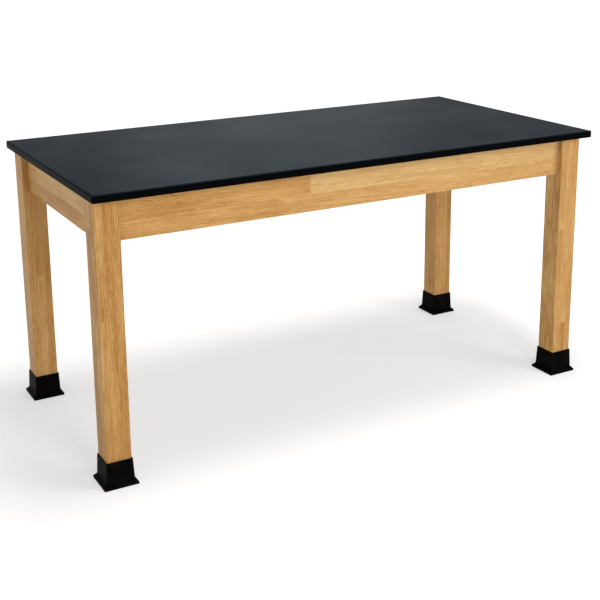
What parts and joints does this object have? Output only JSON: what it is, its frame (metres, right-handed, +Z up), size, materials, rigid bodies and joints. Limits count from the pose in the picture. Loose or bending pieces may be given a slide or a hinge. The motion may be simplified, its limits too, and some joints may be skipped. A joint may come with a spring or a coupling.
{
  "type": "laboratory table",
  "caption": "Free-standing science laboratory table: chemical-resistant slab top on a bolted hardwood frame, with sliding flared leg boots over screw-adjusted levelling glides.",
  "frame": {"origin": "on the floor under the middle of the worktop", "axes": "+X along the worktop to the right as seen from the front, +Y to the back, +Z up"},
  "size_m": [1.524, 0.762, 0.762],
  "materials": {
    "slab": "satin black phenolic resin slab",
    "hardwood": "clear satin lacquer on glued-up light hardwood staves",
    "boot_rubber": "moulded black rubber, fine matt texture",
    "pad_plastic": "moulded black nylon",
    "zinc_steel": "bright zinc plate",
    "brass": "plain machined brass"
  },
  "bodies": {
    "table": {"worktop": "slab", "top_inserts": "brass", "leg_front_left": "hardwood", "leg_front_right": "hardwood", "leg_rear_left": "hardwood", "leg_rear_right": "hardwood", "apron_front": "hardwood", "apron_rear": "hardwood", "apron_left": "hardwood", "apron_right": "hardwood", "cross_rail": "hardwood", "cross_rail_brackets": "zinc_steel", "top_brackets": "zinc_steel", "top_screws": "zinc_steel", "bracket_screws": "zinc_steel", "corner_brace_front_left": "zinc_steel", "corner_brace_front_right": "zinc_steel", "corner_brace_rear_left": "zinc_steel", "corner_brace_rear_right": "zinc_steel", "hanger_bolts": "zinc_steel", "hanger_washers": "zinc_steel", "hanger_nuts": "zinc_steel", "brace_screws": "zinc_steel", "glide_inserts": "zinc_steel"},
    "boot_front_left": {"leg_boot_front_left": "boot_rubber"},
    "stem_front_left": {"glide_stem_front_left": "zinc_steel"},
    "pad_front_left": {"glide_pad_front_left": "pad_plastic"},
    "boot_front_right": {"leg_boot_front_right": "boot_rubber"},
    "stem_front_right": {"glide_stem_front_right": "zinc_steel"},
    "pad_front_right": {"glide_pad_front_right": "pad_plastic"},
    "boot_rear_left": {"leg_boot_rear_left": "boot_rubber"},
    "stem_rear_left": {"glide_stem_rear_left": "zinc_steel"},
    "pad_rear_left": {"glide_pad_rear_left": "pad_plastic"},
    "boot_rear_right": {"leg_boot_rear_right": "boot_rubber"},
    "stem_rear_right": {"glide_stem_rear_right": "zinc_steel"},
    "pad_rear_right": {"glide_pad_rear_right": "pad_plastic"}
  },
  "joints": [
    {"name": "boot_slide_front_left", "type": "slide", "parent": "table", "child": "boot_front_left", "axis": [0, 0, 1], "range_m": [0, 0.08]},
    {"name": "glide_travel_front_left", "type": "slide", "parent": "table", "child": "pad_front_left", "axis": [0, 0, -1], "range_m": [0, 0.0125]},
    {"name": "stem_turn_front_left", "type": "hinge", "parent": "pad_front_left", "child": "stem_front_left", "pos_m": [-0.7165, -0.3095, 0], "axis": [0, 0, -1], "range_deg": [0, 2880]},
    {"name": "boot_slide_front_right", "type": "slide", "parent": "table", "child": "boot_front_right", "axis": [0, 0, 1], "range_m": [0, 0.08]},
    {"name": "glide_travel_front_right", "type": "slide", "parent": "table", "child": "pad_front_right", "axis": [0, 0, -1], "range_m": [0, 0.0125]},
    {"name": "stem_turn_front_right", "type": "hinge", "parent": "pad_front_right", "child": "stem_front_right", "pos_m": [0.7165, -0.3095, 0], "axis": [0, 0, -1], "range_deg": [0, 2880]},
    {"name": "boot_slide_rear_left", "type": "slide", "parent": "table", "child": "boot_rear_left", "axis": [0, 0, 1], "range_m": [0, 0.08]},
    {"name": "glide_travel_rear_left", "type": "slide", "parent": "table", "child": "pad_rear_left", "axis": [0, 0, -1], "range_m": [0, 0.0125]},
    {"name": "stem_turn_rear_left", "type": "hinge", "parent": "pad_rear_left", "child": "stem_rear_left", "pos_m": [-0.7165, 0.3095, 0], "axis": [0, 0, -1], "range_deg": [0, 2880]},
    {"name": "boot_slide_rear_right", "type": "slide", "parent": "table", "child": "boot_rear_right", "axis": [0, 0, 1], "range_m": [0, 0.08]},
    {"name": "glide_travel_rear_right", "type": "slide", "parent": "table", "child": "pad_rear_right", "axis": [0, 0, -1], "range_m": [0, 0.0125]},
    {"name": "stem_turn_rear_right", "type": "hinge", "parent": "pad_rear_right", "child": "stem_rear_right", "pos_m": [0.7165, 0.3095, 0], "axis": [0, 0, -1], "range_deg": [0, 2880]}
  ],
  "couplings": [
    {"joint": "glide_travel_front_left", "follows": "stem_turn_front_left", "m_per_rad": 0.00023873},
    {"joint": "glide_travel_front_right", "follows": "stem_turn_front_right", "m_per_rad": 0.00023873},
    {"joint": "glide_travel_rear_left", "follows": "stem_turn_rear_left", "m_per_rad": 0.00023873},
    {"joint": "glide_travel_rear_right", "follows": "stem_turn_rear_right", "m_per_rad": 0.00023873}
  ]
}
